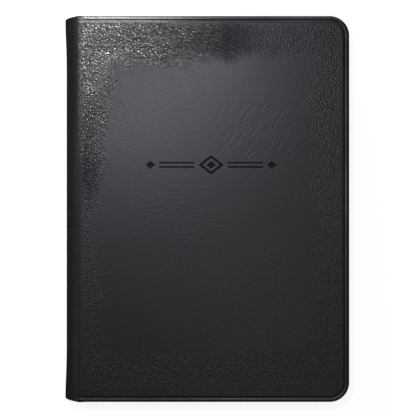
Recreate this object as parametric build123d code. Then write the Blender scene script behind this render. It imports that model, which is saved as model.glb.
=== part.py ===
from build123d import *
import os
from math import asin, degrees, sqrt

# A leather address book, closed and lying on its back cover. Sizes are in millimetres.
# X runs from the spine to the fore edge, Y from tail to head, Z upwards.
# The origin is under the middle of the book, on the face that it lies on.

# Covers
book_height = 197.0
cover_width = 138.5  # flat face of a cover, from the joint to the fore edge
corner_radius = 10.0
leather_thickness = 0.8
board_thickness = 1.5
board_setback = 3.0  # bare leather between the joint and the board, where the cover bends
turn_in_width = 14.0
outer_edge_round = 1.5
inner_edge_round = 0.9
pastedown_thickness = 0.2
pastedown_margin = 5.0
cover_gap = 0.175  # room between the lining of a cover and its free end leaf

# Line creased into the face of each cover along head, fore edge and tail
crease_inset = 1.7
crease_width = 0.8
crease_depth = 0.25

# Blind ornament pressed into the front cover, where a title would stand
ornament_length = 67.0
ornament_x = 2.0
ornament_y = 22.5
ornament_depth = 0.3
rule_width = 0.8
rule_spacing = 2.2
rule_gap = 2.0  # bare leather between a rule and the lozenge beside it
lozenge_length = 13.0
lozenge_height = 10.0
lozenge_line = 1.2
lozenge_core_length = 5.0
lozenge_core_height = 3.8
end_lozenge_length = 5.0
end_lozenge_height = 4.0

# Rounded spine
spine_bulge = 6.5  # how far the spine stands out past the joint
split_gap = 0.1  # between the two halves of the spine, where it folds
joint_gap = 0.2  # between the spine leather and the front cover, where the cover folds
back_clearance = 0.2  # between the backs of the leaves and the spine
band_radius = 0.9
band_seat_gap = 0.05  # between a band and the ends of the leaves
band_inset = 0.15  # between a band and the spine

# Leaves
section_names = ["ab", "cd", "ef", "gh", "ij", "kl", "mn", "op", "qr", "st", "uv", "wxyz"]
leaves_thickness = 0.8
index_leaf_thickness = 0.2
flyleaf_thickness = 0.2
leaf_air = 0.05  # between one section and the next
fore_square = 3.2  # how far the covers reach past the leaves at the fore edge
end_square = 3.0  # the same at head and tail
leaf_corner_radius = 7.0
tab_depth = 6.0
tab_corner_radius = 1.5
index_margin = 8.0  # from head and tail of the leaves to the first and last tab

# Heights of the stack, counted from the middle of the book
half_count = len(section_names) // 2
section_pitch = leaves_thickness + index_leaf_thickness + leaf_air
text_half = half_count * section_pitch
flyleaf_low = text_half + leaf_air / 2
flyleaf_high = flyleaf_low + flyleaf_thickness
pastedown_low = flyleaf_high + cover_gap
cover_low = pastedown_low + pastedown_thickness
board_low = cover_low + leather_thickness
board_high = board_low + board_thickness
half_thickness = board_high + leather_thickness
middle = half_thickness

# Places across the book
spine_x = -(cover_width + spine_bulge) / 2
joint_x = spine_x + spine_bulge
fore_x = joint_x + cover_width
half_height = book_height / 2

# Arcs of the spine, all about one line
spine_radius = (half_thickness**2 + spine_bulge**2) / (2 * spine_bulge)
lining_radius = spine_radius - leather_thickness
lining_inner_radius = lining_radius - leather_thickness
back_radius = lining_inner_radius - back_clearance
spine_centre_x = spine_x + spine_radius

# Leaves, whose backs follow the arc of the spine
leaf_half_height = half_height - end_square
tab_pitch = (2 * leaf_half_height - 2 * index_margin) / len(section_names)


def back_of_leaf(low, high):
    # Left end of a leaf between two heights counted from the middle
    farthest = max(abs(low), abs(high))
    return spine_centre_x - sqrt(back_radius**2 - farthest**2)


leaf_width = fore_x - fore_square - back_of_leaf(text_half, text_half - section_pitch)


def plate(left, right, half_width, fore_radius, low, high):
    # Flat plate with rounded corners at the fore edge, heights counted from the middle
    outline = Pos((left + right) / 2, 0, middle + low) * Rectangle(right - left, 2 * half_width)
    if fore_radius > 0:
        outline = fillet(outline.vertices().group_by(Axis.X)[-1], fore_radius)
    return extrude(outline, high - low)


def lozenge(length, height):
    return Polygon((length / 2, 0), (0, height / 2), (-length / 2, 0), (0, -height / 2))


def ornament_sketch():
    # A lozenge between two pairs of rules, with a small lozenge at each end
    inner_scale = 1 - 2 * lozenge_line * sqrt(lozenge_length**2 + lozenge_height**2) / (
        lozenge_length * lozenge_height
    )
    shape = lozenge(lozenge_length, lozenge_height)
    shape -= lozenge(lozenge_length * inner_scale, lozenge_height * inner_scale)
    shape += lozenge(lozenge_core_length, lozenge_core_height)
    rule_start = lozenge_length / 2 + rule_gap
    rule_end = ornament_length / 2 - end_lozenge_length - rule_gap
    for side in (-1, 1):
        for row in (-1, 1):
            place = Pos(side * (rule_start + rule_end) / 2, row * rule_spacing / 2)
            shape += place * Rectangle(rule_end - rule_start, rule_width)
        end_place = Pos(side * (ornament_length - end_lozenge_length) / 2, 0)
        shape += end_place * lozenge(end_lozenge_length, end_lozenge_height)
    return Pos(ornament_x, ornament_y, 2 * half_thickness) * shape


def crease(left):
    outer = crease_inset
    inner = crease_inset + crease_width
    low = half_thickness - crease_depth
    rim = plate(left, fore_x - outer, half_height - outer, corner_radius - outer, low, half_thickness)
    field = plate(left, fore_x - inner, half_height - inner, corner_radius - inner, low, half_thickness)
    return rim - field


def cover_leather(left):
    # Outer skin, turned over the edges of the board on three sides
    skin = plate(left, fore_x, half_height, corner_radius, cover_low, half_thickness)
    outer_edges = skin.faces().sort_by(Axis.Z)[-1].edges().sort_by(Axis.X)[1:]
    skin = fillet(outer_edges, outer_edge_round)
    inner_edges = skin.faces().sort_by(Axis.Z)[0].edges().sort_by(Axis.X)[1:]
    skin = fillet(inner_edges, inner_edge_round)
    skin -= plate(
        left,
        fore_x - leather_thickness,
        half_height - leather_thickness,
        corner_radius - leather_thickness,
        board_low,
        board_high,
    )
    skin -= plate(left, fore_x - turn_in_width, half_height - turn_in_width, 0, cover_low, board_low)
    return skin - crease(left)


def cover_board():
    return plate(
        joint_x + board_setback,
        fore_x - leather_thickness,
        half_height - leather_thickness,
        corner_radius - leather_thickness,
        board_low,
        board_high,
    )


def cover_filler():
    right = fore_x - turn_in_width
    return plate(joint_x + board_setback, right, half_height - turn_in_width, 0, cover_low, board_low)


def cover_pastedown():
    return plate(
        joint_x + joint_gap,
        fore_x - pastedown_margin,
        half_height - pastedown_margin,
        corner_radius - pastedown_margin,
        pastedown_low,
        cover_low,
    )


def spine_strip(outer_radius, inner_radius, top, tail_y, head_y):
    # Half of a curved strip, from the middle of the spine up to the joint or to a lower height
    ring = Circle(outer_radius) - Circle(inner_radius)
    low = split_gap / 2
    reach = joint_x - spine_centre_x + outer_radius
    window = Pos(joint_x - spine_centre_x - reach / 2, (low + top) / 2) * Rectangle(reach, top - low)
    profile = Plane.XZ * Pos(spine_centre_x, middle) * (ring & window)
    return Pos(0, head_y, 0) * extrude(profile, head_y - tail_y)


def spine_leather():
    # Folded over to the inside at head and tail
    fold_y = half_height - turn_in_width
    leather = spine_strip(spine_radius, lining_radius, half_thickness, -half_height, half_height)
    for tail_y, head_y in ((-half_height, -fold_y), (fold_y, half_height)):
        leather += spine_strip(lining_radius, lining_inner_radius, half_thickness, tail_y, head_y)
    return leather


def spine_lining():
    reach = half_height - turn_in_width
    return spine_strip(lining_radius, lining_inner_radius, text_half, -reach, reach)


def spine_band(end):
    # Round band on the ends of the leaves, against the spine, at the head (1) or the tail (-1)
    arc_radius = lining_inner_radius - band_inset - band_radius
    seat_y = end * (leaf_half_height + band_seat_gap + band_radius)
    start = degrees(asin(split_gap / 2 / arc_radius))
    sweep = degrees(asin(text_half / arc_radius)) - start
    turn = Axis((spine_centre_x, 0, middle), (0, 1, 0))
    section = Pos(spine_centre_x - arc_radius, seat_y, middle) * Circle(band_radius)
    return revolve(section, turn, sweep).rotate(turn, start)


def leaf_outline(left, tab_foot):
    # Leaf cut back along the fore edge below its own tab, so that the later tabs show
    right = left + leaf_width
    outline = Pos((left + right) / 2, 0) * Rectangle(leaf_width, 2 * leaf_half_height)
    if tab_foot is not None:
        cut_height = tab_foot + leaf_half_height
        outline -= Pos(right - tab_depth / 2, tab_foot - cut_height / 2) * Rectangle(tab_depth, cut_height)
        step = outline.vertices().group_by(Axis.Y)[1]
        outline = fillet(step, tab_corner_radius)
    rows = outline.vertices().group_by(Axis.Y)
    corners = [rows[0].sort_by(Axis.X)[-1], rows[-1].sort_by(Axis.X)[-1]]
    return fillet(corners, leaf_corner_radius)


def leaf_stack(left, tab_foot, low, high):
    return extrude(Pos(0, 0, middle + low) * leaf_outline(left, tab_foot), high - low)


def flyleaf():
    return leaf_stack(back_of_leaf(flyleaf_low, flyleaf_high), None, flyleaf_low, flyleaf_high)


def section_pieces(number):
    # Writing leaves below, index leaf on top, counted from the front cover
    low = (half_count - 1 - number) * section_pitch + leaf_air / 2
    top_of_leaves = low + leaves_thickness
    high = top_of_leaves + index_leaf_thickness
    left = back_of_leaf(low, high)
    last = len(section_names) - 1
    tab_foot = None
    if number < last:
        tab_foot = leaf_half_height - index_margin - (number + 1) * tab_pitch
    leaves = leaf_stack(left, tab_foot, low, top_of_leaves)
    index_leaf = leaf_stack(left, tab_foot, top_of_leaves, high)
    return leaves, index_leaf


def to_back(shape):
    return mirror(shape, Plane.XY.offset(middle))


pieces = {}
front_leather = cover_leather(joint_x + joint_gap)
pieces["front_cover_leather"] = front_leather - extrude(ornament_sketch(), -ornament_depth)
pieces["back_cover_leather"] = to_back(cover_leather(joint_x))
paired_pieces = {
    "{}_board": cover_board(),
    "{}_filler": cover_filler(),
    "{}_pastedown": cover_pastedown(),
    "{}_flyleaf": flyleaf(),
    "spine_leather_{}": spine_leather(),
    "spine_lining_{}": spine_lining(),
    "head_band_{}": spine_band(1),
    "tail_band_{}": spine_band(-1),
}
for name, shape in paired_pieces.items():
    pieces[name.format("front")] = shape
    pieces[name.format("back")] = to_back(shape)
for number, letters in enumerate(section_names):
    leaves, index_leaf = section_pieces(number)
    pieces["leaves_" + letters] = leaves
    pieces["index_leaf_" + letters] = index_leaf

os.makedirs("parts", exist_ok=True)
for name, shape in pieces.items():
    export_step(shape, "parts/" + name + ".step")
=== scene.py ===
import bpy
import bmesh
import math
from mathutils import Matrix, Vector, noise
from mathutils.geometry import delaunay_2d_cdt


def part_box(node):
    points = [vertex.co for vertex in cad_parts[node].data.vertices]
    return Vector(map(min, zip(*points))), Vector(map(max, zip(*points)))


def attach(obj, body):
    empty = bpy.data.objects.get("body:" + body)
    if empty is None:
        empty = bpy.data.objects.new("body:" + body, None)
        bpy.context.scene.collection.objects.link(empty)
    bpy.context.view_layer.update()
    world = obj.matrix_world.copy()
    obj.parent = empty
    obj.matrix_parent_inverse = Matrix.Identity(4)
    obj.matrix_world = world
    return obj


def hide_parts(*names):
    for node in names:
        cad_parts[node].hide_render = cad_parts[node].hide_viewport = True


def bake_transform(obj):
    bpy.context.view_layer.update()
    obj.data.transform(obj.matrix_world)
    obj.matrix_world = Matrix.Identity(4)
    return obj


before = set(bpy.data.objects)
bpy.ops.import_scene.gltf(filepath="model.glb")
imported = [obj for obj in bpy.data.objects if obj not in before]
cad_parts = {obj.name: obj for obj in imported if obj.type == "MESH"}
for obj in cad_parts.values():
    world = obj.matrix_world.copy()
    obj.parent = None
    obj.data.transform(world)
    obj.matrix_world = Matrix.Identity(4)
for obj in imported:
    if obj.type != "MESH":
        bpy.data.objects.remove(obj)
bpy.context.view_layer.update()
mm = 0.001
mergeReach = 1e-7  # points closer than this are one
print("frame loaded,", len(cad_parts), "nodes")

# sizes of the book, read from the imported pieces
coverLow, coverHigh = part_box("front_cover_leather")
boardLow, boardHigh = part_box("front_board")
book = {
    "foreX": coverHigh.x,
    "jointX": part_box("back_cover_leather")[0].x,
    "spineX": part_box("spine_leather_back")[0].x,
    "top": coverHigh.z,
    "middle": coverHigh.z / 2,
    "halfHeight": coverHigh.y,
    "coverThick": coverHigh.z - coverLow.z,
    "leather": coverHigh.z - boardHigh.z,
    "boardX": boardLow.x,
}
bulge = book["jointX"] - book["spineX"]
book["spineRadius"] = (book["middle"] ** 2 + bulge**2) / (2 * bulge)
book["spineCentreX"] = book["spineX"] + book["spineRadius"]
book["spineReach"] = math.asin(book["middle"] / book["spineRadius"])  # half of its arc, as an angle

sectionNames = ["ab", "cd", "ef", "gh", "ij", "kl", "mn", "op", "qr", "st", "uv", "wxyz"]


# small helpers

def smooth(value, low, high):
    t = min(max((value - low) / (high - low), 0.0), 1.0)
    return t * t * (3 - 2 * t)


def lineShare(value, edges):
    # rises from 0 to 1 between the first two edges and falls back between the last two
    start, full, fall, end = edges
    return smooth(value, start, full) * (1 - smooth(value, fall, end))


def fadeAlong(ends, value, half):
    return ends[0] + (ends[1] - ends[0]) * smooth(value, -half, half)


def addObject(name, data):
    thing = bpy.data.objects.new(name, data)
    bpy.context.scene.collection.objects.link(thing)
    return thing


def shadeSmooth(mesh, sharpAngle):
    for face in mesh.polygons:
        face.use_smooth = True
    mesh.set_sharp_from_angle(angle=math.radians(sharpAngle))


def meshObject(name, verts, faces, material, sharpAngle=35):
    mesh = bpy.data.meshes.new(name)
    mesh.from_pydata([tuple(v) for v in verts], [], faces)
    bm = bmesh.new()
    bm.from_mesh(mesh)
    bmesh.ops.remove_doubles(bm, verts=bm.verts, dist=mergeReach)
    openEdges = [edge for edge in bm.edges if edge.is_boundary]
    if openEdges:
        bmesh.ops.holes_fill(bm, edges=openEdges, sides=0)
    bmesh.ops.recalc_face_normals(bm, faces=bm.faces)
    bm.to_mesh(mesh)
    bm.free()
    shadeSmooth(mesh, sharpAngle)
    mesh.materials.append(material)
    return addObject(name, mesh)


def paintValue(piece, name, valueAt):
    layer = piece.data.attributes.new(name, "FLOAT", "POINT")
    for point, cell in zip(piece.data.vertices, layer.data):
        cell.value = valueAt(point.co)


def paintPlace(piece):
    # each point keeps its place in the flat hide, so that the grain bends with the leather
    layer = piece.data.attributes.new("hidePlace", "FLOAT_VECTOR", "POINT")
    for point, cell in zip(piece.data.vertices, layer.data):
        cell.vector = point.co


def evaluatedMesh(thing):
    graph = bpy.context.evaluated_depsgraph_get()
    return bpy.data.meshes.new_from_object(thing.evaluated_get(graph))


def runTree(piece, tree, values, sharpAngle):
    # the result of the geometry nodes becomes the piece's own plain mesh
    modifier = piece.modifiers.new(tree.name, "NODES")
    modifier.node_group = tree
    for item in tree.interface.items_tree:
        if item.item_type == "SOCKET" and item.in_out == "INPUT" and item.name in values:
            modifier[item.identifier] = values[item.name]
    mesh = evaluatedMesh(piece)
    piece.modifiers.clear()
    piece.data = mesh
    shadeSmooth(mesh, sharpAngle)


# node helpers

nodeStep = 190  # between one node and the next in the editor
noiseSpan = (0.3, 0.7)  # most of a noise lies between these
unit = (0.0, 1.0)


def feed(tree, socket, source):
    if isinstance(source, bpy.types.NodeSocket):
        tree.links.new(source, socket)
    else:
        socket.default_value = source


def wire(tree, node, **values):
    for key, value in values.items():
        feed(tree, node.inputs[key.replace("_", " ")], value)


def addNode(tree, kind, **values):
    # each value goes to the input of its name, or else to the node's setting
    node = tree.nodes.new(kind)
    node.location = (nodeStep * len(tree.nodes), 0)
    for key, value in values.items():
        if key.replace("_", " ") in node.inputs:
            wire(tree, node, **{key: value})
        else:
            setattr(node, key, value)
    return node


def mathNode(tree, operation, *sources):
    node = addNode(tree, "ShaderNodeMath", operation=operation)
    for socket, source in zip(node.inputs, sources):
        feed(tree, socket, source)
    return node.outputs[0]


def multiply(tree, first, *others):
    for other in others:
        first = mathNode(tree, "MULTIPLY", first, other)
    return first


def vectorNode(tree, operation, *sources, **values):
    node = addNode(tree, "ShaderNodeVectorMath", operation=operation, **values)
    for socket, source in zip(node.inputs, sources):
        feed(tree, socket, source)
    return node.outputs["Value" if operation == "DISTANCE" else "Vector"]


def splitNode(tree, vector):
    return addNode(tree, "ShaderNodeSeparateXYZ", Vector=vector).outputs


def mixColour(tree, factor, first, second):
    node = addNode(tree, "ShaderNodeMix", data_type="RGBA")
    for socket, source in ((0, factor), (6, first), (7, second)):  # 6 and 7 take colours
        if isinstance(source, tuple):
            source = source + (1.0,)
        feed(tree, node.inputs[socket], source)
    return node.outputs[2]


def mixValue(tree, factor, first, second):
    node = addNode(tree, "ShaderNodeMix", data_type="FLOAT")
    for socket, source in ((0, factor), (2, first), (3, second)):  # 2 and 3 take plain values
        feed(tree, node.inputs[socket], source)
    return node.outputs[0]


def rangeNode(tree, source, span, low, high, smoothStep=False):
    node = addNode(tree, "ShaderNodeMapRange", interpolation_type="SMOOTHSTEP" if smoothStep else "LINEAR",
                   Value=source, From_Min=span[0], From_Max=span[1], To_Min=low, To_Max=high)
    return node.outputs["Result"]


def noiseNode(tree, vector, scale, detail=2.0, distortion=0.0, output="Fac"):
    node = addNode(tree, "ShaderNodeTexNoise", Vector=vector, Scale=scale, Detail=detail,
                   Distortion=distortion)
    return node.outputs[output]


def bumpNode(tree, height, distance, strength=1.0):
    node = addNode(tree, "ShaderNodeBump", Strength=strength, Distance=distance, Height=height)
    return node.outputs["Normal"]


def attributeNode(tree, name, output="Fac"):
    return addNode(tree, "ShaderNodeAttribute", attribute_name=name).outputs[output]


def newGroup(name, vectors, values, outputs):
    tree = bpy.data.node_groups.new(name, "ShaderNodeTree")
    for label in vectors:
        tree.interface.new_socket(name=label, in_out="INPUT", socket_type="NodeSocketVector")
    for label in values:
        tree.interface.new_socket(name=label, in_out="INPUT", socket_type="NodeSocketFloat")
    for label in outputs:
        tree.interface.new_socket(name=label, in_out="OUTPUT", socket_type="NodeSocketFloat")
    return tree, addNode(tree, "NodeGroupInput").outputs


def placeGroup(tree, group, vector, **values):
    return addNode(tree, "ShaderNodeGroup", node_tree=group, Vector=vector, **values).outputs


def newMaterial(name, look, **sockets):
    material = bpy.data.materials.new(name)
    material.use_nodes = True
    tree = material.node_tree
    shader = tree.nodes["Principled BSDF"]
    wire(tree, shader, Roughness=look["rough"], Specular_IOR_Level=look["gloss"], **sockets)
    return material, tree, shader


def newTree(name, **inputs):
    # geometry nodes with named inputs, each of a given kind
    tree = bpy.data.node_groups.new(name, "GeometryNodeTree")
    for key, kind in inputs.items():
        tree.interface.new_socket(name=key.replace("_", " "), in_out="INPUT", socket_type="NodeSocket" + kind)
    tree.interface.new_socket(name="Geometry", in_out="OUTPUT", socket_type="NodeSocketGeometry")
    return tree, addNode(tree, "NodeGroupInput").outputs


def closeTree(tree, geometry, material):
    solid = addNode(tree, "GeometryNodeRealizeInstances", Geometry=geometry)
    dye = addNode(tree, "GeometryNodeSetMaterial", Geometry=solid.outputs["Geometry"], Material=material)
    addNode(tree, "NodeGroupOutput", Geometry=dye.outputs["Geometry"])


# shared surface effects

grainLook = {
    "warpScale": 260.0,
    "warpMiddle": (0.5, 0.5, 0.5),
    "warpReach": 1.4 * mm,
    "roundness": 0.55,
    "creaseWidth": (0.0, 0.16),
    "poreScale": 2600.0,
    "patchScale": 26.0,
}


def makeGrainGroup():
    # pebbles of the hide, the creases between them, fine pores and slow patches
    look = grainLook
    tree, source = newGroup("hideGrain", ["Vector"], ["Pebble Scale"], ["Pebble", "Crease", "Pore", "Patch"])
    vector, scale = source["Vector"], source["Pebble Scale"]
    warp = noiseNode(tree, vector, look["warpScale"], output="Color")
    warp = vectorNode(tree, "SUBTRACT", warp, look["warpMiddle"])
    warp = vectorNode(tree, "SCALE", warp, Scale=look["warpReach"])
    moved = vectorNode(tree, "ADD", vector, warp)
    pebble = addNode(tree, "ShaderNodeTexVoronoi", feature="SMOOTH_F1", Vector=moved, Scale=scale,
                     Smoothness=look["roundness"])
    edge = addNode(tree, "ShaderNodeTexVoronoi", feature="DISTANCE_TO_EDGE", Vector=moved, Scale=scale)
    addNode(tree, "NodeGroupOutput",
            Pebble=mathNode(tree, "SUBTRACT", 1.0, pebble.outputs["Distance"]),
            Crease=rangeNode(tree, edge.outputs["Distance"], look["creaseWidth"], 1.0, 0.0, True),
            Pore=noiseNode(tree, vector, look["poreScale"]),
            Patch=noiseNode(tree, vector, look["patchScale"]))
    return tree


wrinkleLook = {
    "fade": (0.25, 1.0),  # shares of the reach between which the lines fade out
    "stretch": (150.0, 620.0, 300.0),
    "detail": 2.0,
    "curl": 0.4,
    "ridge": (0.35, 0.65),
}


def makeWrinkleGroup():
    # long fine wrinkles drawn in one direction, fading out away from their middle
    look = wrinkleLook
    tree, source = newGroup("drawnWrinkle", ["Vector", "Middle", "Turn"], ["Reach"], ["Wrinkle"])
    away = vectorNode(tree, "DISTANCE", source["Vector"], source["Middle"])
    away = mathNode(tree, "DIVIDE", away, source["Reach"])
    mask = rangeNode(tree, away, look["fade"], 1.0, 0.0, True)
    turned = addNode(tree, "ShaderNodeMapping", vector_type="POINT", Vector=source["Vector"],
                     Rotation=source["Turn"])
    stretched = vectorNode(tree, "MULTIPLY", turned.outputs["Vector"], look["stretch"])
    lines = noiseNode(tree, stretched, 1.0, look["detail"], look["curl"])
    ridge = rangeNode(tree, lines, look["ridge"], 0.0, 1.0)
    addNode(tree, "NodeGroupOutput", Wrinkle=multiply(tree, mask, ridge))
    return tree


panelLook = {
    "cornerBlend": 20.0 * mm,  # rounds the corners of the polished field
    "strayScale": 70.0,
    "strayDetail": 3.0,
    "strayReach": 4.0 * mm,  # how far its border wanders
}


def makePanelGroup():
    # how far a point lies outside the polished field, and how far inside the rolled edges of the hide
    look = panelLook
    tree, source = newGroup("panelRim", ["Vector", "Field Middle", "Field Half", "Hide Middle", "Hide Half"],
                            ["Field Fade", "Edge Start", "Edge End"], ["Outside", "Inside"])

    def awayFrom(middle):
        return vectorNode(tree, "ABSOLUTE", vectorNode(tree, "SUBTRACT", source["Vector"], source[middle]))

    beyond = splitNode(tree, vectorNode(tree, "SUBTRACT", awayFrom("Field Middle"), source["Field Half"]))
    reach = mathNode(tree, "SMOOTH_MAX", beyond["X"], beyond["Y"], look["cornerBlend"])
    stray = noiseNode(tree, source["Vector"], look["strayScale"], look["strayDetail"])
    stray = rangeNode(tree, stray, noiseSpan, -look["strayReach"], look["strayReach"])
    reach = mathNode(tree, "ADD", reach, stray)
    inset = splitNode(tree, vectorNode(tree, "SUBTRACT", source["Hide Half"], awayFrom("Hide Middle")))
    inset = mathNode(tree, "MINIMUM", inset["X"], inset["Y"])
    addNode(tree, "NodeGroupOutput",
            Outside=rangeNode(tree, reach, (0.0, source["Field Fade"]), 0.0, 1.0, True),
            Inside=rangeNode(tree, inset, (source["Edge Start"], source["Edge End"]), 0.0, 1.0, True))
    return tree


fibreLook = {"cloudScale": 45.0, "cloudDetail": 4.0, "fibreDetail": 3.0, "curl": 1.2}


def makeFibreGroup():
    # cloudy pulp and short fibres of paper and card
    look = fibreLook
    tree, source = newGroup("pulpFibre", ["Vector"], ["Fibre Scale"], ["Cloud", "Fibre"])
    cloud = noiseNode(tree, source["Vector"], look["cloudScale"], look["cloudDetail"])
    fibre = noiseNode(tree, source["Vector"], source["Fibre Scale"], look["fibreDetail"], look["curl"])
    addNode(tree, "NodeGroupOutput", Cloud=rangeNode(tree, cloud, noiseSpan, 0.0, 1.0), Fibre=fibre)
    return tree


grainGroup = makeGrainGroup()
wrinkleGroup = makeWrinkleGroup()
panelGroup = makePanelGroup()
fibreGroup = makeFibreGroup()


# materials

leatherLook = {
    # each finish's pale colour for its rims is partly wear and partly painted highlight
    "cover": {"dark": (0.0073, 0.0068, 0.0092), "light": (0.0093, 0.0088, 0.0116),
              "wearHighlightColour": (0.230, 0.225, 0.225),
              "gloss": 0.335, "rough": 0.285, "grainRough": 0.30, "waxed": True},
    "edge": {"dark": (0.0090, 0.0086, 0.0094), "light": (0.0120, 0.0115, 0.0125),
             "wearHighlightColour": (0.0460, 0.0450, 0.0468),
             "gloss": 0.10, "rough": 0.50, "grainRough": 0.50, "waxed": False},
    # the spine's colours are several times paler than the cover's: painted sheen standing in for the gloss it
    # is given none of
    "spine": {"dark": (0.0305, 0.0295, 0.0307), "light": (0.0362, 0.0351, 0.0365),
              "wearHighlightColour": (0.0460, 0.0450, 0.0468),
              "gloss": 0.0, "rough": 0.50, "grainRough": 0.50, "waxed": False},
    "paintedShadeAndPress": (0.0030, 0.0029, 0.0034),  # painted shade in the creases of the grain; the floor of the pressed ornament is darkened too, partly as heat-pressed leather and partly as painted shade
    "sheenTint": (0.92, 0.91, 1.0, 1.0),
    "pebbleScale": 900.0,
    "bumpDistance": 0.34 * mm,
    "fieldMiddle": (0.0, 2.0 * mm, 0.0),  # the polished middle of the covers
    "fieldHalf": (48.0 * mm, 68.0 * mm, 0.0),
    "fieldFade": 14.0 * mm,
    "fieldGrain": 0.035,  # share of the full grain that is left there
    "hideLeft": -68.5 * mm,  # past this the hide is drawn smooth over the spine
    "edgeReach": (1.8 * mm, 8.0 * mm),  # the rolled edges are smooth too
    "edgeGrain": 0.06,
    "boldCorner": (-66.0 * mm, 95.0 * mm, 20.0 * mm),  # the grain is boldest at the head of the joint
    "boldReach": (15.0 * mm, 100.0 * mm),
    "boldGrain": 2.7,
    "farGrain": 0.16,
    "waxReach": (8.0 * mm, 76.0 * mm),  # wax is left in the bold grain
    "waxStart": 0.42,  # share of the way out of the field at which it is full
    "waxTops": (0.35, 0.65),  # heights of the grain between which it shows
    "sunkenWax": 0.45,
    "edgeWax": 0.78,  # and less of it on the rolled edges
    "waxIOR": 3.5,
    "waxRough": 0.30,
    "jointReach": (-67.5 * mm, -62.5 * mm),  # dull where the cover rolls into the spine
    "jointRough": 0.55,
    "creaseDepth": 0.4,
    "creaseShade": 0.6,
    "reliefMiddle": 0.5,  # so that the grain fades out without a step
    "poreDepth": 0.03,
    "patchRough": 0.02,
    "pressedRough": 0.75,
    "wrinkles": [
        {"middle": (0.027, 0.037, 0.020), "reach": 0.034, "angle": -50, "depth": 0.050},
        {"middle": (-0.014, -0.004, 0.020), "reach": 0.040, "angle": -8, "depth": 0.035},
        {"middle": (0.022, -0.056, 0.020), "reach": 0.060, "angle": -28, "depth": 0.038},
    ],
}


def grainShare(tree, place, press):
    # how much of the full grain shows at a place on the hide, how far that is off the field, and its wax
    look = leatherLook
    left, right = look["hideLeft"], book["foreX"]
    rim = placeGroup(tree, panelGroup, place, Field_Middle=look["fieldMiddle"], Field_Half=look["fieldHalf"],
                     Field_Fade=look["fieldFade"], Hide_Middle=((left + right) / 2, 0.0, 0.0),
                     Hide_Half=((right - left) / 2, book["halfHeight"], 0.0),
                     Edge_Start=look["edgeReach"][0], Edge_End=look["edgeReach"][1])
    away = vectorNode(tree, "DISTANCE", place, look["boldCorner"])
    share = multiply(tree,
                     rangeNode(tree, rim["Outside"], unit, look["fieldGrain"], 1.0),
                     rangeNode(tree, rim["Inside"], unit, look["edgeGrain"], 1.0),
                     rangeNode(tree, away, look["boldReach"], look["boldGrain"], look["farGrain"], True))
    share = mixValue(tree, press, share, 0.0)
    wax = multiply(tree,
                   rangeNode(tree, away, look["waxReach"], 1.0, 0.0),
                   rangeNode(tree, rim["Outside"], (0.0, look["waxStart"]), 0.0, 1.0),
                   rangeNode(tree, rim["Inside"], unit, look["edgeWax"], 1.0))
    return share, rim["Outside"], wax


def makeLeather(name, finish):
    look = leatherLook
    material, tree, shader = newMaterial(name, finish, Specular_Tint=look["sheenTint"])
    place = attributeNode(tree, "hidePlace", "Vector")
    wearAndHighlight = attributeNode(tree, "wearAndHighlight")
    press = attributeNode(tree, "press")
    grain = placeGroup(tree, grainGroup, place, Pebble_Scale=look["pebbleScale"])
    share, outside, wax = grainShare(tree, place, press)
    crease = multiply(tree, grain["Crease"], look["creaseDepth"])
    relief = mathNode(tree, "SUBTRACT", grain["Pebble"], crease)
    relief = mathNode(tree, "SUBTRACT", relief, look["reliefMiddle"])
    height = multiply(tree, relief, share)
    height = mathNode(tree, "ADD", height, multiply(tree, grain["Pore"], look["poreDepth"]))
    for wrinkle in look["wrinkles"]:
        lines = placeGroup(tree, wrinkleGroup, place, Middle=wrinkle["middle"], Reach=wrinkle["reach"],
                           Turn=(0, 0, math.radians(wrinkle["angle"])))
        height = mathNode(tree, "ADD", height, multiply(tree, lines["Wrinkle"], wrinkle["depth"]))
    bump = bumpNode(tree, height, look["bumpDistance"])
    tone = rangeNode(tree, grain["Patch"], noiseSpan, 0.0, 1.0)
    colour = mixColour(tree, tone, finish["dark"], finish["light"])
    # painted shade darkens the creases of the grain, and the ornament's floor is darkened with it
    paintedShadeAndPress = mathNode(tree, "MAXIMUM", multiply(tree, grain["Crease"], look["creaseShade"]), press)
    colour = mixColour(tree, paintedShadeAndPress, colour, look["paintedShadeAndPress"])
    # pale rims and joint: partly wear, partly painted highlight
    colour = mixColour(tree, multiply(tree, wearAndHighlight, tone), colour, finish["wearHighlightColour"])
    rough = mixValue(tree, outside, finish["rough"], finish["grainRough"])
    rough = mathNode(tree, "ADD", rough, multiply(tree, tone, look["patchRough"]))
    inward = rangeNode(tree, splitNode(tree, place)["X"], look["jointReach"], 0.0, 1.0, True)
    rough = mixValue(tree, inward, look["jointRough"], rough)
    rough = mixValue(tree, press, rough, look["pressedRough"])
    wire(tree, shader, Base_Color=colour, Roughness=rough, Normal=bump)
    if finish["waxed"]:
        raised = rangeNode(tree, grain["Pebble"], look["waxTops"], look["sunkenWax"], 1.0)
        wire(tree, shader, Coat_Weight=multiply(tree, wax, raised, inward), Coat_Normal=bump,
             Coat_IOR=look["waxIOR"], Coat_Roughness=look["waxRough"])
    return material


paperLook = {
    "leaf": ((0.80, 0.765, 0.675), (0.75, 0.71, 0.61)),
    "index": ((0.78, 0.735, 0.63), (0.73, 0.68, 0.57)),
    "end": ((0.77, 0.71, 0.59), (0.70, 0.64, 0.52)),
    "card": ((0.42, 0.39, 0.34), (0.34, 0.31, 0.27)),
    "rough": 0.82,
    "gloss": 0.25,
    "fibreScale": 1100.0,
    "fibreBump": (0.04 * mm, 0.35),
    "rule": (0.40, 0.45, 0.50),
    "ruleStep": 7.0 * mm,
    "ruleWidth": 0.11 * mm,
    "ruleShade": 0.7,
    "flatness": (0.6, 0.8),
    "marginX": (-54.0 * mm, 56.0 * mm),
    "marginY": (-82.0 * mm, 82.0 * mm),
    "leafPitch": 0.1 * mm,
    "edgeTone": 0.30,
}


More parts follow.
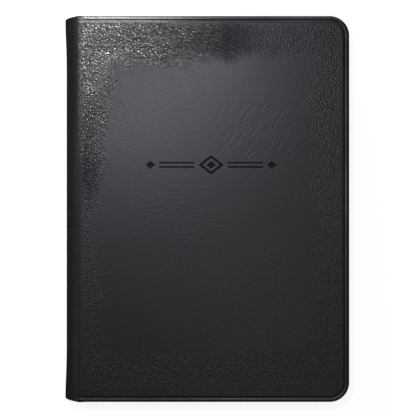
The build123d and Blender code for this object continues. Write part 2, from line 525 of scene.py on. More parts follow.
def makeRuling(tree, place, facing):
    # writing lines on the flat of the page, inside its margins, and the tones of the leaves on its edges
    look = paperLook
    spot = splitNode(tree, place)
    row = mathNode(tree, "PINGPONG", spot["Y"], look["ruleStep"] / 2)
    line = mathNode(tree, "LESS_THAN", row, look["ruleWidth"])
    for axis, (low, high) in (("X", look["marginX"]), ("Y", look["marginY"])):
        line = multiply(tree, line, mathNode(tree, "GREATER_THAN", spot[axis], low),
                        mathNode(tree, "LESS_THAN", spot[axis], high))
    flat = mathNode(tree, "ABSOLUTE", splitNode(tree, facing)["Z"])
    flat = rangeNode(tree, flat, look["flatness"], 0.0, look["ruleShade"])
    edge = rangeNode(tree, flat, (0.0, look["ruleShade"]), look["edgeTone"], 0.0)
    leafNumber = mathNode(tree, "FLOOR", mathNode(tree, "DIVIDE", spot["Z"], look["leafPitch"]))
    tone = addNode(tree, "ShaderNodeTexWhiteNoise", noise_dimensions="1D", W=leafNumber).outputs["Value"]
    return multiply(tree, line, flat), multiply(tree, tone, edge)


def makePaper(name, tints, ruled):
    look = paperLook
    material, tree, shader = newMaterial(name, look)
    coords = addNode(tree, "ShaderNodeTexCoord").outputs
    fibre = placeGroup(tree, fibreGroup, coords["Object"], Fibre_Scale=look["fibreScale"])
    colour = mixColour(tree, fibre["Cloud"], *tints)
    if ruled:
        ink, shade = makeRuling(tree, coords["Object"], coords["Normal"])
        colour = mixColour(tree, ink, colour, look["rule"])
        colour = mixColour(tree, shade, colour, look["card"][0])
    wire(tree, shader, Base_Color=colour, Normal=bumpNode(tree, fibre["Fibre"], *look["fibreBump"]))
    return material


clothLook = {
    "warp": (0.76, 0.72, 0.62),
    "gap": (0.40, 0.37, 0.31),
    "rough": 0.9,
    "gloss": 0.2,
    "threadPitch": 0.9 * mm,
    "threadSpan": (-0.4, 0.6),
    "weaveBump": (0.15 * mm, 0.8),
}


def makeCloth():
    # open mull that holds the backs of the leaves
    look = clothLook
    material, tree, shader = newMaterial("spineMull", look)
    spot = splitNode(tree, addNode(tree, "ShaderNodeTexCoord").outputs["Object"])
    threads = []
    for axis in "YZ":
        wave = mathNode(tree, "SINE", multiply(tree, spot[axis], 2 * math.pi / look["threadPitch"]))
        threads.append(rangeNode(tree, wave, look["threadSpan"], 0.0, 1.0, True))
    weave = mathNode(tree, "MAXIMUM", *threads)
    wire(tree, shader, Base_Color=mixColour(tree, weave, look["gap"], look["warp"]),
         Normal=bumpNode(tree, weave, *look["weaveBump"]))
    return material


threadLook = {
    "pale": (0.74, 0.68, 0.55),
    "deep": (0.028, 0.025, 0.030),
    "rough": 0.7,
    "gloss": 0.35,
    "strandScale": 5200.0,
    "strandShade": 0.35,
    "strandBump": (0.05 * mm, 0.5),
}


def makeThread():
    # twisted thread in two colours, by the turn it belongs to
    look = threadLook
    material, tree, shader = newMaterial("bandThread", look)
    coords = addNode(tree, "ShaderNodeTexCoord").outputs
    strand = noiseNode(tree, coords["Object"], look["strandScale"])
    colour = mixColour(tree, attributeNode(tree, "stripe"), look["pale"], look["deep"])
    fade = rangeNode(tree, strand, noiseSpan, 0.0, look["strandShade"])
    wire(tree, shader, Base_Color=mixColour(tree, fade, colour, look["deep"]),
         Normal=bumpNode(tree, strand, *look["strandBump"]))
    return material


inkLook = {
    "dark": (0.014, 0.014, 0.017),
    "light": (0.045, 0.043, 0.045),
    "rough": 0.6,
    "gloss": 0.3,
    "fibreScale": 2400.0,
}


def makeInk():
    look = inkLook
    material, tree, shader = newMaterial("tabInk", look)
    coords = addNode(tree, "ShaderNodeTexCoord").outputs
    fibre = placeGroup(tree, fibreGroup, coords["Object"], Fibre_Scale=look["fibreScale"])
    wire(tree, shader, Base_Color=mixColour(tree, fibre["Fibre"], look["dark"], look["light"]))
    return material


coverLeather = makeLeather("coverLeather", leatherLook["cover"])
edgeLeather = makeLeather("edgeLeather", leatherLook["edge"])
spineLeather = makeLeather("spineLeather", leatherLook["spine"])
leafPaper = makePaper("leafPaper", paperLook["leaf"], True)
indexPaper = makePaper("indexPaper", paperLook["index"], True)
endPaper = makePaper("endPaper", paperLook["end"], False)
boardCard = makePaper("boardCard", paperLook["card"], False)
spineMull = makeCloth()
bandThread = makeThread()
tabInk = makeInk()
print("materials made")

nodeLooks = {"board": boardCard, "filler": boardCard, "pastedown": endPaper, "flyleaf": endPaper,
             "lining": spineMull, "index": indexPaper, "leaves": leafPaper, "leather": coverLeather,
             "band": bandThread}
for nodeName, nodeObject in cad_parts.items():
    for word, material in nodeLooks.items():
        if word in nodeName:
            nodeObject.data.materials.clear()
            nodeObject.data.materials.append(material)


# leather of the covers: rolled edges, creased line and pressed ornament

coverLook = {
    "corner": 10.0 * mm,
    "leastCorner": 0.6 * mm,
    "bevelInset": 0.3 * mm,  # the rolled edge ends in a bevel that rises to a crest
    "crestInset": 1.45 * mm,
    "bevelTilt": (33.0, 43.0),  # in degrees, at the crest and at the edge
    "innerRound": 1.0 * mm,
    "creaseInset": 2.12 * mm,
    "creaseInner": 1.5 * mm,  # long wall up to the field
    "creaseDepth": 0.34 * mm,
    "fieldInset": 4.0 * mm,
    "underInsets": (7.0 * mm, 4.8 * mm, 4.2 * mm, 3.4 * mm, 2.6 * mm, 1.8 * mm),
    "rollSteps": 6,
    "dullDepth": 0.9 * mm,  # below this the leather isn't polished
    "crestDepth": 0.05 * mm,
    "gridStep": 3.2 * mm,
    "underStep": 12.8 * mm,
    "lastColumn": 1.5,  # room left beside the rim, in steps of the grid
    "ornamentRoom": 0.3,
    "jointColumns": (0.0, 0.3 * mm, 0.6 * mm, 0.9 * mm, 1.3 * mm, 1.7 * mm, 2.4 * mm, 3.0 * mm),
    "jointSteps": 60,
    "cornerSteps": 54,
    "straightSteps": 40,
    "crowding": 1.5,  # points draw together towards the joint
    "waver": 0.04 * mm,
    "waverScale": 26.0,
    "waverEnd": 20.0 * mm,  # full at this distance from the edges
    "waverJoint": 10.0 * mm,
    "waverSeeds": {"front": 3.1, "back": 8.7},
    "shoulder": 8.0 * mm,  # radius over which the cover rolls into the spine
    "flapStart": 0.6 * mm,
    "blendRoom": 0.2 * mm,
    "pleats": 9,
    "pleatDepth": 0.12 * mm,
    "pleatEnds": 0.15,
    "pleatReach": (0.8 * mm, 2.0 * mm, 3.6 * mm, 4.8 * mm),
}
# pale marks on the rims of the covers: a little wear over the rolled edge, and painted highlights along the
# head crest and lip, the fore-edge crest and the tail
wearHighlightLook = {
    "roll": 0.2,  # all over the rolled edge
    "rollDepth": (0.1 * mm, 0.8 * mm),
    "rollInset": (0.4 * mm, 1.5 * mm),
    "line": (1.35 * mm, 1.65 * mm, 1.9 * mm, 2.2 * mm),  # distances in from fore edge and tail
    "lineDepth": (0.5 * mm, 0.9 * mm),
    "fore": (0.3, 1.0),  # at the tail and at the head
    "tail": 0.6,
    "head": (0.90, 0.33),  # at the spine and at the fore edge
    "headCrest": (0.6 * mm, 1.0 * mm, 1.5 * mm, 1.8 * mm),
    "headLip": (2.0 * mm, 2.4 * mm, 3.0 * mm, 3.6 * mm),  # inner side of the crease
    "lipShare": 0.75,
    "half": (60.0 * mm, 90.0 * mm),  # the painted highlights and wear change within this of the middle
}
ornamentLook = {
    "x": 2.0 * mm,
    "y": 22.5 * mm,
    "length": 67.0 * mm,
    "depth": 0.30 * mm,
    "wall": 0.22 * mm,
    "ruleWidth": 0.8 * mm,
    "ruleSpacing": 2.2 * mm,
    "ruleGap": 2.0 * mm,
    "lozenge": (13.0 * mm, 10.0 * mm),
    "lozengeLine": 1.2 * mm,
    "core": (5.0 * mm, 3.8 * mm),
    "endLozenge": (5.0 * mm, 4.0 * mm),
    "pressed": (0.6, 1.3),  # shares of the depth that count as its floor
}
shoulderTurn = math.asin((book["spineCentreX"] - book["jointX"]) / book["spineRadius"])
shoulderLength = coverLook["shoulder"] * math.tan(shoulderTurn / 2)


def shoulderDrop(away):
    # how far the leather lies below the sharp corner at the joint, at a distance from it
    return max(shoulderLength - away, 0.0) ** 2 / (2 * coverLook["shoulder"])


def rimCurve(inset):
    # from the joint along the tail, round the fore edge and back along the head
    look = coverLook
    radius = max(look["corner"] - inset, look["leastCorner"])
    right = book["foreX"] - inset
    half = book["halfHeight"] - inset
    left = book["jointX"]
    straight, corner = look["straightSteps"], look["cornerSteps"]

    def alongEnd(step):
        return left + (right - radius - left) * (step / straight) ** look["crowding"]

    def roundCorner(angle, y):
        return right - radius + radius * math.cos(angle), y + radius * math.sin(angle)

    points = [(alongEnd(step), -half) for step in range(straight)]
    points += [roundCorner(math.pi / 2 * (step / corner - 1), -half + radius) for step in range(corner)]
    points += [(right, -half + radius + 2 * (half - radius) * step / straight) for step in range(straight)]
    points += [roundCorner(math.pi / 2 * step / corner, half - radius) for step in range(corner)]
    points += [(alongEnd(straight - step), half) for step in range(straight + 1)]
    return points


def pleatAt(index, inset):
    # the turned-in leather is gathered into small pleats round the two corners
    look = coverLook
    straight, corner = look["straightSteps"], look["cornerSteps"]
    for first in (straight, 2 * straight + corner):
        along = (index - first) / corner
        if 0 < along < 1:
            ripple = abs(math.sin(math.pi * look["pleats"] * along))
            ripple *= smooth(min(along, 1 - along), 0, look["pleatEnds"])
            return look["pleatDepth"] * ripple * lineShare(inset, look["pleatReach"])
    return 0.0


def rimProfile():
    # distance in from the edge and depth below the face, from the underside up to the field
    look = coverLook
    thick, r, steps = book["coverThick"], look["innerRound"], look["rollSteps"]
    profile = [(inset, thick) for inset in look["underInsets"]]
    for step in range(steps + 1):
        angle = math.pi / 2 * step / steps
        profile.append((r - r * math.sin(angle), thick - r + r * math.cos(angle)))
    bevel = [(look["crestInset"], 0.0)]
    width = (look["crestInset"] - look["bevelInset"]) / steps
    low, high = look["bevelTilt"]
    for step in range(steps):
        tilt = math.radians(low + (high - low) * (step + 0.5) / steps)
        inset, depth = bevel[-1]
        bevel.append((inset - width, depth + width * math.tan(tilt)))
    turn = math.radians(high)
    roll = look["bevelInset"] / (1 - math.sin(turn))
    rollMiddle = bevel[-1][1] + roll * math.cos(turn)
    for step in range(steps):
        angle = math.pi / 2 + (turn - math.pi / 2) * step / steps
        profile.append((roll - roll * math.sin(angle), rollMiddle - roll * math.cos(angle)))
    profile.extend(reversed(bevel))
    for step in range(1, steps):
        share = step / steps
        inset = look["crestInset"] + (look["creaseInset"] - look["crestInset"]) * share
        profile.append((inset, look["creaseDepth"] * smooth(share, 0, 1)))
    for step in range(steps + 1):
        share = step / steps
        inset = look["creaseInset"] + look["creaseInner"] * share
        profile.append((inset, look["creaseDepth"] * (1 - share) ** 2))
    profile.append((look["fieldInset"], 0.0))
    return profile


def lozengePoints(size, inset=0.0, shift=0.0):
    a, b = size[0] / 2, size[1] / 2
    scale = 1 - inset * math.hypot(a, b) / (a * b)
    return [(shift + a * scale, 0), (shift, b * scale), (shift - a * scale, 0), (shift, -b * scale)]


def rulePoints(x0, x1, y, inset=0.0):
    w = ornamentLook["ruleWidth"] / 2 - inset
    return [(x0 + inset, y - w), (x1 - inset, y - w), (x1 - inset, y + w), (x0 + inset, y + w)]


def ornamentOutlines():
    # pairs of outlines: the rim on the face and the foot of the pressed wall
    look = ornamentLook
    wall, line, endSize = look["wall"], look["lozengeLine"], look["endLozenge"]
    pairs = [(lozengePoints(look["lozenge"]), lozengePoints(look["lozenge"], wall)),
             (lozengePoints(look["lozenge"], line), lozengePoints(look["lozenge"], line - wall)),
             (lozengePoints(look["core"]), lozengePoints(look["core"], wall))]
    start = look["lozenge"][0] / 2 + look["ruleGap"]
    end = look["length"] / 2 - endSize[0] - look["ruleGap"]
    for side in (-1, 1):
        x0, x1 = sorted((side * start, side * end))
        for y in (-look["ruleSpacing"] / 2, look["ruleSpacing"] / 2):
            pairs.append((rulePoints(x0, x1, y), rulePoints(x0, x1, y, wall)))
        shift = side * (look["length"] - endSize[0]) / 2
        pairs.append((lozengePoints(endSize, 0.0, shift), lozengePoints(endSize, wall, shift)))
    return pairs


def flapShare(x):
    # the leather alone bends at the joint, and the full cover starts at the board
    thin = book["leather"] / book["coverThick"]
    return thin + (1 - thin) * smooth(x, book["boardX"] - coverLook["flapStart"], book["boardX"])


def waverAt(x, y, seed):
    scale = coverLook["waverScale"]
    return coverLook["waver"] * noise.noise(Vector((x * scale, y * scale, seed)))


def fillField(boundary, step, outlines):
    # triangles over a flat field, kept to its boundary and to the outlines pressed into it
    look = coverLook
    points = [Vector(p) for p in boundary]
    count = len(points)
    edges = [(i, (i + 1) % count) for i in range(count)]
    levels = [0.0] * count
    for rim, foot in outlines:
        for ring, level in ((rim, 0.0), (foot, 1.0)):
            first = len(points)
            points.extend(Vector((x + ornamentLook["x"], y + ornamentLook["y"])) for x, y in ring)
            levels.extend([level] * len(ring))
            edges.extend((first + i, first + (i + 1) % len(ring)) for i in range(len(ring)))
    right = max(p[0] for p in boundary)
    half = max(p[1] for p in boundary)
    columns = [book["jointX"] + x for x in look["jointColumns"]]
    while columns[-1] < right - step * look["lastColumn"]:
        columns.append(columns[-1] + step)
    rows = int(2 * half / step)
    reach = ornamentLook["length"] / 2 + step * look["ornamentRoom"]
    band = ornamentLook["lozenge"][1] / 2 + step * look["ornamentRoom"]
    for x in columns:
        for row in range(1, rows):
            y = -half + 2 * half * row / rows
            if outlines and abs(x - ornamentLook["x"]) < reach and abs(y - ornamentLook["y"]) < band:
                continue
            if x > right - look["corner"] and abs(y) > half - look["corner"]:
                continue
            points.append(Vector((x, y)))
            levels.append(0.0)
    spots, _, faces, origins, _, _ = delaunay_2d_cdt(points, edges, [], 1, mergeReach)
    depth = [levels[origin[0]] if origin else 0.0 for origin in origins]
    return spots, faces, depth


def coverShell(outlines, seed):
    look = coverLook
    top, left, thick = book["top"], book["jointX"], book["coverThick"]
    verts, faces = [], []
    profile = rimProfile()
    rings = [rimCurve(inset) for inset, _ in profile]
    size = len(rings[0])
    for ring, (inset, depth) in zip(rings, profile):
        under = depth > thick - look["innerRound"] / 2
        for index, (x, y) in enumerate(ring):
            z = top - depth * flapShare(x) - shoulderDrop(x - left)
            if under:
                z -= pleatAt(index, inset)
            verts.append((x, y, z))
    for row in range(len(rings) - 1):
        for i in range(size - 1):
            a = row * size + i
            faces.append((a, a + 1, a + size + 1, a + size))

    def closed(ring):
        foot, head = ring[-1][1], ring[0][1]
        sides = look["jointSteps"]
        return ring + [(left, foot + (head - foot) * i / sides) for i in range(1, sides)]

    spots, fieldFaces, levels = fillField(closed(rings[-1]), look["gridStep"], outlines)
    first = len(verts)
    for (x, y), level in zip(spots, levels):
        inset = min(book["foreX"] - x, book["halfHeight"] - abs(y))
        fade = smooth(inset, look["fieldInset"], look["waverEnd"]) * smooth(x - left, 0, look["waverJoint"])
        z = top - shoulderDrop(x - left) - level * ornamentLook["depth"] + fade * waverAt(x, y, seed)
        verts.append((x, y, z))
    faces.extend(tuple(first + i for i in face) for face in fieldFaces)
    spots, underFaces, _ = fillField(closed(rings[0]), look["underStep"], [])
    first = len(verts)
    for x, y in spots:
        verts.append((x, y, top - thick * flapShare(x) - shoulderDrop(x - left)))
    faces.extend(tuple(first + i for i in reversed(face)) for face in underFaces)
    return verts, faces


def edgePlace(point):
    # depth below the face, distance in from the outline, and how far it is at the fore edge, from 0 to 1
    r = coverLook["corner"]
    depth = book["middle"] - abs(point.z - book["middle"])
    across = point.x - book["foreX"] + r
    along = abs(point.y) - book["halfHeight"] + r
    reach = math.hypot(across, along) if across > 0 and along > 0 else max(across, along)
    return depth, r - reach, smooth(across - along, -r / 2, r / 2)


def dullSides(piece):
    # the sides and turn-ins aren't polished, nor is the rolled edge at fore edge and tail
    look = coverLook
    piece.data.materials.append(edgeLeather)
    for face in piece.data.polygons:
        depth, inset, atFore = edgePlace(face.center)
        atHead = face.center.y > 0 and atFore < 0.5
        rolled = depth > look["crestDepth"] and inset < look["crestInset"]
        if depth > look["dullDepth"] or (rolled and not atHead):
            face.material_index = 1


def edgeWearAndHighlight(point):
    # the rolled edges lose some finish, and pale lines run round them as painted highlights, strongest at the
    # head by the spine and at the head end of the fore edge
    look = wearHighlightLook
    depth, inset, atFore = edgePlace(point)
    rolled = smooth(depth, *look["rollDepth"]) * (1 - smooth(inset, *look["rollInset"]))
    onFace = 1 - smooth(depth, *look["lineDepth"])
    line = lineShare(inset, look["line"])
    if point.y < 0:
        end = line * look["tail"]
    else:
        crest = lineShare(inset, look["headCrest"])
        lip = lineShare(inset, look["headLip"]) * look["lipShare"]
        end = max(crest, lip) * fadeAlong(look["head"], point.x, look["half"][0])
    fore = line * fadeAlong(look["fore"], point.y, look["half"][1])
    # the lines here are painted highlights
    highlightLine = atFore * fore + (1 - atFore) * end
    return max(rolled * look["roll"], highlightLine * onFace)


def pressedPlace(point):
    # 1 on the floor of the ornament and 0 elsewhere
    look = ornamentLook
    across, along = abs(point.x - look["x"]), abs(point.y - look["y"])
    beside = across > look["length"] / 2 or along > look["lozenge"][1] / 2
    least, most = look["pressed"]
    onFloor = look["depth"] * least < book["top"] - point.z < look["depth"] * most
    return 1.0 if onFloor and not beside else 0.0


def dressLeather(piece, wearHighlightAt, pressed):
    paintPlace(piece)
    paintValue(piece, "wearAndHighlight", wearHighlightAt)
    paintValue(piece, "press", pressedPlace if pressed else lambda point: 0.0)


shellVerts, shellFaces = coverShell(ornamentOutlines(), coverLook["waverSeeds"]["front"])
frontSkin = meshObject("frontCoverSkin", shellVerts, shellFaces, coverLeather)
dullSides(frontSkin)
dressLeather(frontSkin, edgeWearAndHighlight, True)
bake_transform(frontSkin)
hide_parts("front_cover_leather")

shellVerts, shellFaces = coverShell([], coverLook["waverSeeds"]["back"])
shellVerts = [(x, y, 2 * book["middle"] - z) for x, y, z in shellVerts]
backSkin = meshObject("backCoverSkin", shellVerts, shellFaces, coverLeather)
dullSides(backSkin)
dressLeather(backSkin, edgeWearAndHighlight, False)
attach(backSkin, "back_half")
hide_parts("back_cover_leather")
print("cover leather made")


# leather of the spine: one rounded strip that flares and folds over at head and tail

spineLook = {
    "flare": 0.65 * mm,
    "flareLength": 34.0 * mm,
    "endDrop": 0.9 * mm,
    "endDropLength": 20.0 * mm,
    "turnIn": 14.0 * mm,
    "turnInSlope": 0.3 * mm,
    "arcSteps": 64,
    "lengthSteps": 60,
    "lipSteps": 8,
    "foldHalf": 2.5 * mm,
    "ridge": 2.5 * mm,
}


def spineProfile():
    # closed loop of (place along the spine, depth below its face), with the folded lips at both ends
    look = spineLook
    lip = book["leather"]
    straight = book["halfHeight"] - lip
    fold = book["halfHeight"] - look["turnIn"]
    inner = fold - look["turnInSlope"]
    angles = [math.pi * step / look["lipSteps"] for step in range(1, look["lipSteps"])]
    loop = [(straight * (2 * step / look["lengthSteps"] - 1), 0.0) for step in range(look["lengthSteps"] + 1)]
    loop += [(straight + lip * math.sin(angle), lip - lip * math.cos(angle)) for angle in angles]
    loop += [(straight, 2 * lip), (fold, 2 * lip), (inner, lip)]
    loop += [(-inner, lip), (-fold, 2 * lip), (-straight, 2 * lip)]
    loop += [(-straight - lip * math.sin(angle), lip + lip * math.cos(angle)) for angle in angles]
    return loop


def makeSpineSkin():
    look = spineLook
    loop = spineProfile()
    size = len(loop)
    half, reach, radius = book["halfHeight"], book["spineReach"], book["spineRadius"]
    verts, faces = [], []
    for step in range(look["arcSteps"] + 1):
        turn = reach * (2 * step / look["arcSteps"] - 1)
        crown = (math.cos(turn) - math.cos(reach)) / (1 - math.cos(reach))
        drop = shoulderDrop((reach - abs(turn)) * radius)
        for y, depth in loop:
            flare = look["flare"] * smooth(abs(y), half - look["flareLength"], half) ** 2
            r = radius - depth - drop + flare * crown
            lower = look["endDrop"] * crown * smooth(abs(y), half - look["endDropLength"], half)
            verts.append((book["spineCentreX"] - r * math.cos(turn), y - math.copysign(lower, y),
                          book["middle"] + r * math.sin(turn)))
    for step in range(look["arcSteps"]):
        for i in range(size):
            a, b = step * size + i, step * size + (i + 1) % size
            faces.append((a, b, b + size, a + size))
    last = look["arcSteps"] * size
    faces.append(tuple(range(size)))
    faces.append(tuple(reversed(range(last, last + size))))
    return meshObject("spineSkin", verts, faces, spineLeather)


def jointPaintedHighlight(point):
    # the spine is painted paler towards the joint, a painted highlight on the ridge beside it
    return smooth(point.x, book["spineX"] + spineLook["ridge"], book["jointX"])


spineSkin = makeSpineSkin()
dressLeather(spineSkin, jointPaintedHighlight, False)
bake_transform(spineSkin)
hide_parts("spine_leather_front", "spine_leather_back")
print("spine leather made")


# thread-wound bands at head and tail of the leaves

bandLow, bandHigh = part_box("head_band_front")
bandLook = {
    "radius": (bandHigh.y - bandLow.y) / 2,
    "turns": 34,
    "thread": 0.26 * mm,
    "threadSides": 6,
    "ringSides": 12,
    "arcSteps": 48,
    "stripeTurns": 2.0,
    "endRoom": 0.6,  # share of the radius that the last turn stays inside the solid's end
    "sharpAngle": 60,
}


def makeBandTree():
    look = bandLook
    tree, source = newTree("woundBand", Geometry="Geometry", Turns="Int", Arc_Radius="Float",
                           Arc_Reach="Float", Ring_Radius="Float", Thread_Radius="Float",
                           Stripe_Turns="Float", Place="Vector")
    arc = addNode(tree, "GeometryNodeCurveArc", mode="RADIUS", Resolution=look["arcSteps"],
                  Radius=source["Arc Radius"],
                  Start_Angle=mathNode(tree, "SUBTRACT", math.pi, source["Arc Reach"]),
                  Sweep_Angle=mathNode(tree, "MULTIPLY", source["Arc Reach"], 2.0))
    stand = addNode(tree, "GeometryNodeTransform", Geometry=arc.outputs["Curve"], Translation=source["Place"],
                    Rotation=(math.pi / 2, 0, 0))
    spread = addNode(tree, "GeometryNodeResampleCurve", Curve=stand.outputs["Geometry"],
                     Count=source["Turns"])
    ring = addNode(tree, "GeometryNodeCurvePrimitiveCircle", Resolution=look["ringSides"],
                   Radius=source["Ring Radius"])
    strand = addNode(tree, "GeometryNodeCurvePrimitiveCircle", Resolution=look["threadSides"],
                     Radius=source["Thread Radius"])
    loop = addNode(tree, "GeometryNodeCurveToMesh", Curve=ring.outputs["Curve"],
                   Profile_Curve=strand.outputs["Curve"])
    along = addNode(tree, "GeometryNodeInputTangent").outputs["Tangent"]
    align = addNode(tree, "FunctionNodeAlignRotationToVector", axis="Z", Vector=along)
    wind = addNode(tree, "GeometryNodeInstanceOnPoints", Points=spread.outputs["Curve"],
                   Instance=loop.outputs["Mesh"], Rotation=align.outputs["Rotation"])
    number = addNode(tree, "GeometryNodeInputIndex").outputs["Index"]
    group = mathNode(tree, "FLOOR", mathNode(tree, "DIVIDE", number, source["Stripe Turns"]))
    stripe = addNode(tree, "GeometryNodeStoreNamedAttribute", data_type="FLOAT", domain="INSTANCE",
                     Name="stripe", Geometry=wind.outputs["Instances"],
                     Value=mathNode(tree, "MODULO", group, 2.0))
    closeTree(tree, stripe.outputs["Geometry"], bandThread)
    return tree


def makeBand(name, end, tree):
    look = bandLook
    low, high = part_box(end + "_band_front")
    seat = (low.y + high.y) / 2
    arcRadius = book["spineCentreX"] - low.x - look["radius"]
    rise = high.z - book["middle"] - look["radius"] * look["endRoom"]
    piece = addObject(name, bpy.data.meshes.new(name))
    runTree(piece, tree, {
        "Turns": look["turns"],
        "Arc Radius": arcRadius,
        "Arc Reach": math.asin(rise / arcRadius),
        "Ring Radius": look["radius"] - look["thread"],
        "Thread Radius": look["thread"],
        "Stripe Turns": look["stripeTurns"],
        "Place": (book["spineCentreX"], seat, book["middle"]),
    }, look["sharpAngle"])
    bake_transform(piece)
    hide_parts(end + "_band_front", end + "_band_back")


bandTree = makeBandTree()
makeBand("headBand", "head", bandTree)
makeBand("tailBand", "tail", bandTree)
print("bands made")


# writing leaves: each section is a stack of single leaves, cut to the step of its tab

leafLook = {
    "count": 8,
    "gap": 0.012 * mm,
    "jitter": (0.05 * mm, 0.04 * mm, 0.0),
    "seed": 11,
    "corner": 7.0 * mm,
    "tabDepth": 6.0 * mm,
    "tabCorner": 1.5 * mm,
    "indexMargin": 8.0 * mm,
    "arcSteps": 6,
    "sharpAngle": 30,
}


def arcPoints(cx, cy, radius, start, end):
    steps = leafLook["arcSteps"]
    angles = [math.radians(start + (end - start) * i / steps) for i in range(steps + 1)]
    return [(cx + radius * math.cos(a), cy + radius * math.sin(a)) for a in angles]


def tabPitch(half):
    return 2 * (half - leafLook["indexMargin"]) / len(sectionNames)


def leafOutline(number, low, high):
    look = leafLook
    half, corner, small = high.y, look["corner"], look["tabCorner"]
    foot = half - look["indexMargin"] - (number + 1) * tabPitch(half)
    stepped = number < len(sectionNames) - 1
    lowerRight = high.x - look["tabDepth"] if stepped else high.x
    points = [(low.x, high.y), (low.x, low.y)]
    points += arcPoints(lowerRight - corner, low.y + corner, corner, -90, 0)
    if stepped:
        points += arcPoints(lowerRight + small, foot - small, small, 180, 90)
        points += arcPoints(high.x - small, foot + small, small, -90, 0)
    points += arcPoints(high.x - corner, high.y - corner, corner, 0, 90)
    return points


def makeLeafTree():
    tree, source = newTree("leafStack", Geometry="Geometry", Leaf_Count="Int", Leaf_Pitch="Float",
                           Jitter="Vector", Seed="Int")
    rise = addNode(tree, "ShaderNodeCombineXYZ", Z=source["Leaf Pitch"])
    pile = addNode(tree, "GeometryNodeMeshLine", mode="OFFSET", Count=source["Leaf Count"],
                   Offset=rise.outputs["Vector"])
    lay = addNode(tree, "GeometryNodeInstanceOnPoints", Points=pile.outputs["Mesh"],
                  Instance=source["Geometry"])
    opposite = vectorNode(tree, "SCALE", source["Jitter"], Scale=-1.0)
    stray = addNode(tree, "FunctionNodeRandomValue", data_type="FLOAT_VECTOR", Min=opposite,
                    Max=source["Jitter"], Seed=source["Seed"])
    shift = addNode(tree, "GeometryNodeTranslateInstances", Instances=lay.outputs["Instances"],
                    Translation=stray.outputs["Value"])
    closeTree(tree, shift.outputs["Instances"], leafPaper)
    return tree


def makeLeaves(number, letters, tree):
    look = leafLook
    low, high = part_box("leaves_" + letters)
    pitch = (high.z - low.z) / look["count"]
    outline = leafOutline(number, low, high)
    size = len(outline)
    verts = [(x, y, low.z) for x, y in outline]
    verts += [(x, y, low.z + pitch - look["gap"]) for x, y in outline]
    faces = [tuple(reversed(range(size))), tuple(range(size, 2 * size))]
    faces += [(i, (i + 1) % size, size + (i + 1) % size, size + i) for i in range(size)]
    piece = meshObject("leafStack_" + letters, verts, faces, leafPaper)
    runTree(piece, tree, {
        "Leaf Count": look["count"],
        "Leaf Pitch": pitch,
        "Jitter": look["jitter"],
        "Seed": look["seed"] + number,
    }, look["sharpAngle"])
    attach(piece, "section_" + letters)
    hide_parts("leaves_" + letters)


leafTree = makeLeafTree()
for number, letters in enumerate(sectionNames):
    makeLeaves(number, letters, leafTree)
print("leaves made")


# letters printed on the tabs

letterLook = {"size": 3.6 * mm, "smallSize": 3.0 * mm, "thick": 0.012 * mm, "lineSpace": 1.1, "curveSteps": 4}


def makeTabLetters(number, letters):
    look = letterLook
    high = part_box("index_leaf_" + letters)[1]
    text = bpy.data.curves.new("tabText_" + letters, "FONT")
    rows = [letters[i:i + 2].upper() for i in range(0, len(letters), 2)]
    text.body = "\n".join(rows)
    text.size = look["size"] if len(rows) == 1 else look["smallSize"]
    text.space_line = look["lineSpace"]
    text.align_x = "CENTER"
    text.align_y = "CENTER"
    text.extrude = look["thick"] / 2
    text.resolution_u = look["curveSteps"]
    holder = addObject("tabText_" + letters, text)
    bpy.context.view_layer.update()
    mesh = evaluatedMesh(holder)
    bpy.data.objects.remove(holder)
    middle = high.y - leafLook["indexMargin"] - (number + 0.5) * tabPitch(high.y)
    for point in mesh.vertices:
        point.co += Vector((high.x - leafLook["tabDepth"] / 2, middle, high.z + look["thick"] / 2))
    mesh.materials.clear()
    mesh.materials.append(tabInk)
    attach(addObject("tabLetters_" + letters, mesh), "section_" + letters)


for number, letters in enumerate(sectionNames):
    makeTabLetters(number, letters)
print("tab letters made")


# floor, light and camera

stageLook = {
    "floorSize": 12.0,
    "floorRim": 0.5,
    "floorColour": (0.33, 0.33, 0.33, 1.0),
    "rough": 0.9,
    "gloss": 0.1,
    "white": (1.0, 1.0, 1.0, 1.0),
    "lift": 0.86,
    "worldStrength": 0.21,
}
lampLooks = [
    {"name": "keyBox", "place": (-0.070, 0.155, 0.76), "aim": (-0.02, 0.03, 0.02), "size": (0.19, 0.09),
     "power": 1.17, "spread": 180},
    {"name": "overBox", "place": (0.05, -0.08, 1.00), "aim": (0.02, -0.03, 0.02), "size": (0.24, 0.40),
     "power": 0.30, "spread": 180},
    {"name": "headBox", "place": (-0.09, 0.50, 0.15), "aim": (-0.050, 0.095, 0.02), "size": (0.18, 0.10),
     "power": 0.098, "spread": 76},
    {"name": "leftBox", "place": (-0.42, 0.25, 0.24), "aim": (0.00, 0.05, 0.02), "size": (0.20, 0.10),
     "power": 0.11, "spread": 90},
    {"name": "cornerBox", "place": (0.25, 0.25, 0.27), "aim": (-0.092, 0.072, 0.02), "size": (0.06, 0.04),
     "power": 0.042, "spread": 26},
]
cameraLook = {
    "distance": 0.75,  # above the level at which the outline is widest
    "outlineDepth": 1.4 * mm,
    "pixelsPerMetre": 1959.4,
    "imageSize": 416,
    "sensor": 36.0,
    "centre": (207.2, 209.0),  # pixel at which the origin shows
}


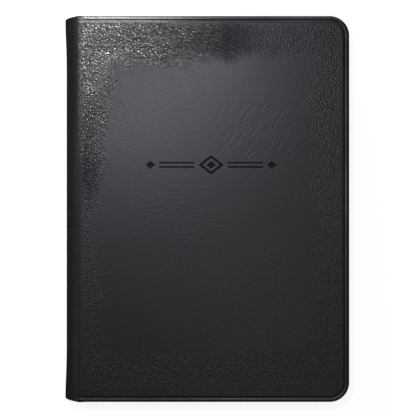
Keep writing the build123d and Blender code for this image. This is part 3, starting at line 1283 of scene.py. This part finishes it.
def makeFloor():
    # one wide sheet whose border turns up at the horizon
    look = stageLook
    half = look["floorSize"] / 2
    corners = [(-half, -half), (half, -half), (half, half), (-half, half)]
    verts = [(x, y, z) for z in (0.0, look["floorRim"]) for x, y in corners]
    faces = [(0, 1, 2, 3)]
    faces += [((i + 1) % 4, i, i + 4, (i + 1) % 4 + 4) for i in range(4)]
    mesh = bpy.data.meshes.new("floor")
    mesh.from_pydata(verts, [], faces)
    floor = addObject("floor", mesh)
    material, tree, shader = newMaterial("paleFloor", look, Base_Color=look["floorColour"],
                                         Emission_Color=look["white"])
    path = addNode(tree, "ShaderNodeLightPath").outputs
    seen = mathNode(tree, "MAXIMUM", path["Is Camera Ray"], path["Is Glossy Ray"])
    seen = mathNode(tree, "MAXIMUM", seen, path["Is Transmission Ray"])
    wire(tree, shader, Emission_Strength=multiply(tree, seen, look["lift"]))
    mesh.materials.append(material)


def makeWorld():
    world = bpy.data.worlds.new("studio")
    bpy.context.scene.world = world
    world.use_nodes = True
    tree = world.node_tree
    wire(tree, tree.nodes["Background"], Color=stageLook["white"], Strength=stageLook["worldStrength"])


def makeLamp(look):
    data = bpy.data.lights.new(look["name"], "AREA")
    data.shape = "RECTANGLE"
    data.size, data.size_y = look["size"]
    data.energy = look["power"]
    data.spread = math.radians(look["spread"])
    lamp = addObject(look["name"], data)
    lamp.location = look["place"]
    lamp.rotation_euler = (Vector(look["aim"]) - Vector(look["place"])).to_track_quat("-Z", "Y").to_euler()


def makeCamera():
    look = cameraLook
    data = bpy.data.cameras.new("camera")
    data.sensor_width = look["sensor"]
    data.lens = look["pixelsPerMetre"] * look["distance"] * look["sensor"] / look["imageSize"]
    camera = addObject("camera", data)
    centre = look["imageSize"] / 2
    shiftX = (centre - look["centre"][0]) / look["pixelsPerMetre"]
    shiftY = (look["centre"][1] - centre) / look["pixelsPerMetre"]
    camera.location = (shiftX, shiftY, book["top"] - look["outlineDepth"] + look["distance"])
    bpy.context.scene.camera = camera


makeFloor()
makeWorld()
for lampLook in lampLooks:
    makeLamp(lampLook)
makeCamera()
bpy.context.scene.view_settings.view_transform = "Standard"
print("stage made")
